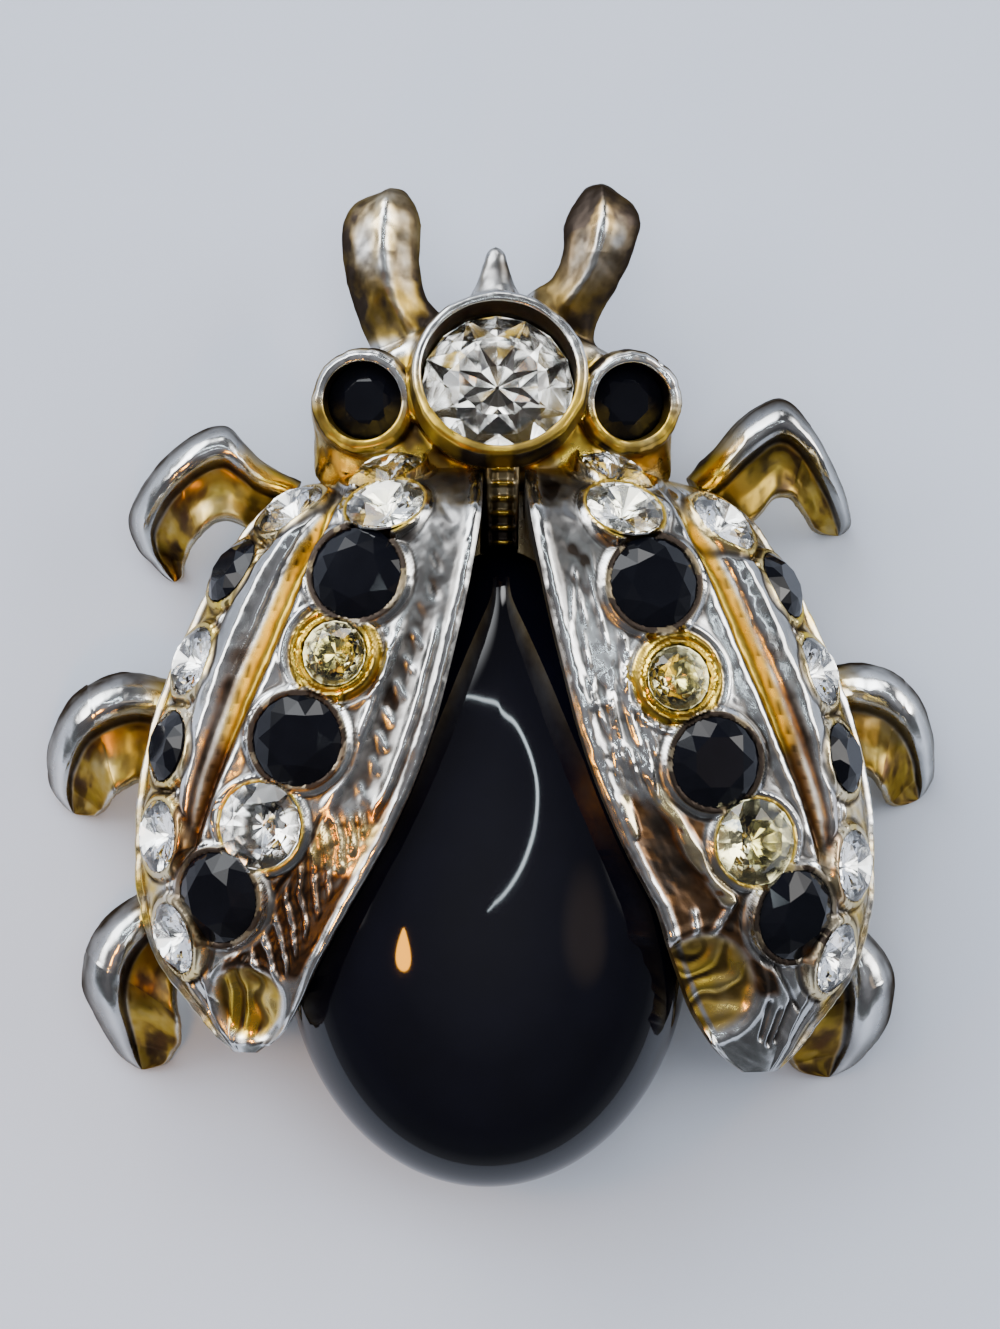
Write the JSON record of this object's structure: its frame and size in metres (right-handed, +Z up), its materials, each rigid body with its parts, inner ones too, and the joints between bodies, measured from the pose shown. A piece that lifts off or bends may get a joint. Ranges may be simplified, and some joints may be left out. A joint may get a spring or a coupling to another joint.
{
  "type": "beetle brooch",
  "caption": "Cast beetle brooch with splayed wing cases set with clear and black stones, a black cabochon abdomen, curved legs and a pin back.",
  "frame": {"origin": "centre of the footprint, on the surface that the feet rest on", "axes": "+Z up out of the beetle's back, +Y towards its head, +X to its right wing case as seen from above with the head up"},
  "size_m": [0.0304, 0.0336, 0.0091],
  "materials": {
    "gilt_casting": "worn gold and silver plate, polished",
    "silvered_casting": "hammered silver plate with gold showing in the hollows",
    "black_cabochon": "polished, domed",
    "pin_steel": "plain",
    "clear_stone": "foil-backed cut glass",
    "tinted_stone": "foil-backed cut glass, yellowish",
    "black_stone": "faceted black glass"
  },
  "bodies": {
    "root": {"body_casting": "gilt_casting", "left_wing_case": "silvered_casting", "right_wing_case": "silvered_casting", "cabochon": "black_cabochon", "pin_back": "pin_steel", "head_crystal": "clear_stone", "left_eye_stone": "black_stone", "right_eye_stone": "black_stone", "left_inner_stone_1": "clear_stone", "left_inner_stone_2": "clear_stone", "left_inner_stone_3": "black_stone", "left_inner_stone_4": "tinted_stone", "left_inner_stone_5": "black_stone", "left_inner_stone_6": "clear_stone", "left_inner_stone_7": "black_stone", "left_outer_stone_1": "clear_stone", "left_outer_stone_2": "black_stone", "left_outer_stone_3": "clear_stone", "left_outer_stone_4": "black_stone", "left_outer_stone_5": "clear_stone", "left_outer_stone_6": "clear_stone", "right_inner_stone_1": "clear_stone", "right_inner_stone_2": "clear_stone", "right_inner_stone_3": "black_stone", "right_inner_stone_4": "tinted_stone", "right_inner_stone_5": "black_stone", "right_inner_stone_6": "clear_stone", "right_inner_stone_7": "black_stone", "right_outer_stone_1": "clear_stone", "right_outer_stone_2": "black_stone", "right_outer_stone_3": "clear_stone", "right_outer_stone_4": "black_stone", "right_outer_stone_5": "clear_stone", "right_outer_stone_6": "clear_stone"}
  },
  "joints": []
}
